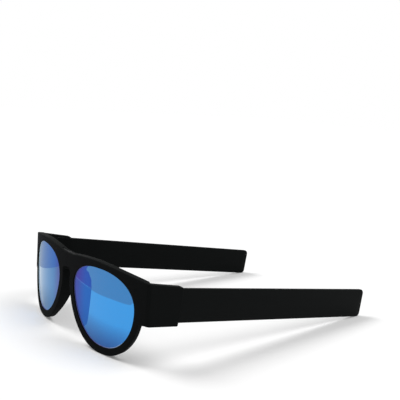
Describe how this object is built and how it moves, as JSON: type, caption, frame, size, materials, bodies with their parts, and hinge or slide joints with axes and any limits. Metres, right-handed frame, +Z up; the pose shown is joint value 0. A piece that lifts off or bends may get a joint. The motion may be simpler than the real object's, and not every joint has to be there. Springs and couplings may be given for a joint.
{
  "type": "folding sunglasses",
  "caption": "Sunglasses with blue mirror lenses, a folding hinge in the bridge, and flat slap band arms that stand straight or roll up into rings.",
  "frame": {"origin": "on the surface that the glasses stand on, under the middle of their length and width", "axes": "+X towards the wearer's left half, +Y from the lenses back to the arm tips, +Z up"},
  "size_m": [0.1398, 0.2059, 0.0536],
  "materials": {
    "frame_plastic": "soft-touch matte black",
    "blue_lens": "mirror coated blue in front, smoke grey behind",
    "silicone": "matte black silicone",
    "hinge_steel": "satin",
    "pin_steel": "polished",
    "screw_steel": "satin",
    "tape_steel": "bare spring steel"
  },
  "bodies": {
    "left_half": {"left_frame": "frame_plastic", "left_lens": "blue_lens", "left_hinge_leaf": "hinge_steel", "hinge_pin": "pin_steel", "left_leaf_screw": "screw_steel", "left_sleeve_cover": "frame_plastic", "left_cover_screws": "screw_steel", "left_steel_tape": "tape_steel", "left_band_root": "silicone"},
    "right_half": {"right_frame": "frame_plastic", "right_lens": "blue_lens", "right_hinge_leaf": "hinge_steel", "right_leaf_screw": "screw_steel", "right_sleeve_cover": "frame_plastic", "right_cover_screws": "screw_steel", "right_steel_tape": "tape_steel", "right_band_root": "silicone"},
    "left_arm_01": {"left_band_01": "silicone"},
    "left_arm_02": {"left_band_02": "silicone"},
    "left_arm_03": {"left_band_03": "silicone"},
    "left_arm_04": {"left_band_04": "silicone"},
    "left_arm_05": {"left_band_05": "silicone"},
    "left_arm_06": {"left_band_06": "silicone"},
    "left_arm_07": {"left_band_07": "silicone"},
    "left_arm_08": {"left_band_08": "silicone"},
    "left_arm_09": {"left_band_09": "silicone"},
    "left_arm_10": {"left_band_10": "silicone"},
    "left_arm_11": {"left_band_11": "silicone"},
    "left_arm_12": {"left_band_12": "silicone"},
    "left_arm_13": {"left_band_13": "silicone"},
    "left_arm_14": {"left_band_14": "silicone"},
    "right_arm_01": {"right_band_01": "silicone"},
    "right_arm_02": {"right_band_02": "silicone"},
    "right_arm_03": {"right_band_03": "silicone"},
    "right_arm_04": {"right_band_04": "silicone"},
    "right_arm_05": {"right_band_05": "silicone"},
    "right_arm_06": {"right_band_06": "silicone"},
    "right_arm_07": {"right_band_07": "silicone"},
    "right_arm_08": {"right_band_08": "silicone"},
    "right_arm_09": {"right_band_09": "silicone"},
    "right_arm_10": {"right_band_10": "silicone"},
    "right_arm_11": {"right_band_11": "silicone"},
    "right_arm_12": {"right_band_12": "silicone"},
    "right_arm_13": {"right_band_13": "silicone"},
    "right_arm_14": {"right_band_14": "silicone"}
  },
  "joints": [
    {"name": "bridge_fold", "type": "hinge", "parent": "left_half", "child": "right_half", "pos_m": [0, -0.10096, 0.0486], "axis": [0, 0, -1], "range_deg": [0, 28]},
    {"name": "left_roll", "type": "hinge", "parent": "left_half", "child": "left_arm_01", "pos_m": [0.06587, -0.06166, 0.03238], "axis": [-0.0036, 0.1384, 0.9904], "range_deg": [0, 29.6], "deforming": ["left_steel_tape"]},
    {"name": "left_bend_02", "type": "hinge", "parent": "left_arm_01", "child": "left_arm_02", "pos_m": [0.06556, -0.04998, 0.03075], "axis": [-0.0036, 0.1384, 0.9904], "range_deg": [0, 30.07]},
    {"name": "left_bend_03", "type": "hinge", "parent": "left_arm_02", "child": "left_arm_03", "pos_m": [0.06526, -0.0383, 0.02912], "axis": [-0.0036, 0.1384, 0.9904], "range_deg": [0, 30.76]},
    {"name": "left_bend_04", "type": "hinge", "parent": "left_arm_03", "child": "left_arm_04", "pos_m": [0.06495, -0.02662, 0.02748], "axis": [-0.0036, 0.1384, 0.9904], "range_deg": [0, 31.61]},
    {"name": "left_bend_05", "type": "hinge", "parent": "left_arm_04", "child": "left_arm_05", "pos_m": [0.06464, -0.01493, 0.02585], "axis": [-0.0036, 0.1384, 0.9904], "range_deg": [0, 32.58]},
    {"name": "left_bend_06", "type": "hinge", "parent": "left_arm_05", "child": "left_arm_06", "pos_m": [0.06434, -0.00325, 0.02422], "axis": [-0.0036, 0.1384, 0.9904], "range_deg": [0, 33.65]},
    {"name": "left_bend_07", "type": "hinge", "parent": "left_arm_06", "child": "left_arm_07", "pos_m": [0.06403, 0.00843, 0.02258], "axis": [-0.0036, 0.1384, 0.9904], "range_deg": [0, 34.82]},
    {"name": "left_bend_08", "type": "hinge", "parent": "left_arm_07", "child": "left_arm_08", "pos_m": [0.06373, 0.02011, 0.02095], "axis": [-0.0036, 0.1384, 0.9904], "range_deg": [0, 36.06]},
    {"name": "left_bend_09", "type": "hinge", "parent": "left_arm_08", "child": "left_arm_09", "pos_m": [0.06342, 0.0318, 0.01932], "axis": [-0.0036, 0.1384, 0.9904], "range_deg": [0, 37.38]},
    {"name": "left_bend_10", "type": "hinge", "parent": "left_arm_09", "child": "left_arm_10", "pos_m": [0.06311, 0.04348, 0.01768], "axis": [-0.0036, 0.1384, 0.9904], "range_deg": [0, 38.76]},
    {"name": "left_bend_11", "type": "hinge", "parent": "left_arm_10", "child": "left_arm_11", "pos_m": [0.06281, 0.05516, 0.01605], "axis": [-0.0036, 0.1384, 0.9904], "range_deg": [0, 40.21]},
    {"name": "left_bend_12", "type": "hinge", "parent": "left_arm_11", "child": "left_arm_12", "pos_m": [0.0625, 0.06684, 0.01442], "axis": [-0.0036, 0.1384, 0.9904], "range_deg": [0, 41.72]},
    {"name": "left_bend_13", "type": "hinge", "parent": "left_arm_12", "child": "left_arm_13", "pos_m": [0.0622, 0.07853, 0.01278], "axis": [-0.0036, 0.1384, 0.9904], "range_deg": [0, 43.28]},
    {"name": "left_bend_14", "type": "hinge", "parent": "left_arm_13", "child": "left_arm_14", "pos_m": [0.06189, 0.09021, 0.01115], "axis": [-0.0036, 0.1384, 0.9904], "range_deg": [0, 44.9]},
    {"name": "right_roll", "type": "hinge", "parent": "right_half", "child": "right_arm_01", "pos_m": [-0.06587, -0.06166, 0.03238], "axis": [-0.0036, -0.1384, -0.9904], "range_deg": [0, 29.6], "deforming": ["right_steel_tape"]},
    {"name": "right_bend_02", "type": "hinge", "parent": "right_arm_01", "child": "right_arm_02", "pos_m": [-0.06556, -0.04998, 0.03075], "axis": [-0.0036, -0.1384, -0.9904], "range_deg": [0, 30.07]},
    {"name": "right_bend_03", "type": "hinge", "parent": "right_arm_02", "child": "right_arm_03", "pos_m": [-0.06526, -0.0383, 0.02912], "axis": [-0.0036, -0.1384, -0.9904], "range_deg": [0, 30.76]},
    {"name": "right_bend_04", "type": "hinge", "parent": "right_arm_03", "child": "right_arm_04", "pos_m": [-0.06495, -0.02662, 0.02748], "axis": [-0.0036, -0.1384, -0.9904], "range_deg": [0, 31.61]},
    {"name": "right_bend_05", "type": "hinge", "parent": "right_arm_04", "child": "right_arm_05", "pos_m": [-0.06464, -0.01493, 0.02585], "axis": [-0.0036, -0.1384, -0.9904], "range_deg": [0, 32.58]},
    {"name": "right_bend_06", "type": "hinge", "parent": "right_arm_05", "child": "right_arm_06", "pos_m": [-0.06434, -0.00325, 0.02422], "axis": [-0.0036, -0.1384, -0.9904], "range_deg": [0, 33.65]},
    {"name": "right_bend_07", "type": "hinge", "parent": "right_arm_06", "child": "right_arm_07", "pos_m": [-0.06403, 0.00843, 0.02258], "axis": [-0.0036, -0.1384, -0.9904], "range_deg": [0, 34.82]},
    {"name": "right_bend_08", "type": "hinge", "parent": "right_arm_07", "child": "right_arm_08", "pos_m": [-0.06373, 0.02011, 0.02095], "axis": [-0.0036, -0.1384, -0.9904], "range_deg": [0, 36.06]},
    {"name": "right_bend_09", "type": "hinge", "parent": "right_arm_08", "child": "right_arm_09", "pos_m": [-0.06342, 0.0318, 0.01932], "axis": [-0.0036, -0.1384, -0.9904], "range_deg": [0, 37.38]},
    {"name": "right_bend_10", "type": "hinge", "parent": "right_arm_09", "child": "right_arm_10", "pos_m": [-0.06311, 0.04348, 0.01768], "axis": [-0.0036, -0.1384, -0.9904], "range_deg": [0, 38.76]},
    {"name": "right_bend_11", "type": "hinge", "parent": "right_arm_10", "child": "right_arm_11", "pos_m": [-0.06281, 0.05516, 0.01605], "axis": [-0.0036, -0.1384, -0.9904], "range_deg": [0, 40.21]},
    {"name": "right_bend_12", "type": "hinge", "parent": "right_arm_11", "child": "right_arm_12", "pos_m": [-0.0625, 0.06684, 0.01442], "axis": [-0.0036, -0.1384, -0.9904], "range_deg": [0, 41.72]},
    {"name": "right_bend_13", "type": "hinge", "parent": "right_arm_12", "child": "right_arm_13", "pos_m": [-0.0622, 0.07853, 0.01278], "axis": [-0.0036, -0.1384, -0.9904], "range_deg": [0, 43.28]},
    {"name": "right_bend_14", "type": "hinge", "parent": "right_arm_13", "child": "right_arm_14", "pos_m": [-0.06189, 0.09021, 0.01115], "axis": [-0.0036, -0.1384, -0.9904], "range_deg": [0, 44.9]}
  ],
  "couplings": [
    {"joint": "left_bend_02", "follows": "left_roll", "ratio": 1.0142},
    {"joint": "left_bend_03", "follows": "left_roll", "ratio": 1.0375},
    {"joint": "left_bend_04", "follows": "left_roll", "ratio": 1.0661},
    {"joint": "left_bend_05", "follows": "left_roll", "ratio": 1.0989},
    {"joint": "left_bend_06", "follows": "left_roll", "ratio": 1.1352},
    {"joint": "left_bend_07", "follows": "left_roll", "ratio": 1.1745},
    {"joint": "left_bend_08", "follows": "left_roll", "ratio": 1.2165},
    {"joint": "left_bend_09", "follows": "left_roll", "ratio": 1.2611},
    {"joint": "left_bend_10", "follows": "left_roll", "ratio": 1.3079},
    {"joint": "left_bend_11", "follows": "left_roll", "ratio": 1.3568},
    {"joint": "left_bend_12", "follows": "left_roll", "ratio": 1.4077},
    {"joint": "left_bend_13", "follows": "left_roll", "ratio": 1.4605},
    {"joint": "left_bend_14", "follows": "left_roll", "ratio": 1.5152},
    {"joint": "right_bend_02", "follows": "right_roll", "ratio": 1.0142},
    {"joint": "right_bend_03", "follows": "right_roll", "ratio": 1.0375},
    {"joint": "right_bend_04", "follows": "right_roll", "ratio": 1.0661},
    {"joint": "right_bend_05", "follows": "right_roll", "ratio": 1.0989},
    {"joint": "right_bend_06", "follows": "right_roll", "ratio": 1.1352},
    {"joint": "right_bend_07", "follows": "right_roll", "ratio": 1.1745},
    {"joint": "right_bend_08", "follows": "right_roll", "ratio": 1.2165},
    {"joint": "right_bend_09", "follows": "right_roll", "ratio": 1.2611},
    {"joint": "right_bend_10", "follows": "right_roll", "ratio": 1.3079},
    {"joint": "right_bend_11", "follows": "right_roll", "ratio": 1.3568},
    {"joint": "right_bend_12", "follows": "right_roll", "ratio": 1.4077},
    {"joint": "right_bend_13", "follows": "right_roll", "ratio": 1.4605},
    {"joint": "right_bend_14", "follows": "right_roll", "ratio": 1.5152}
  ]
}
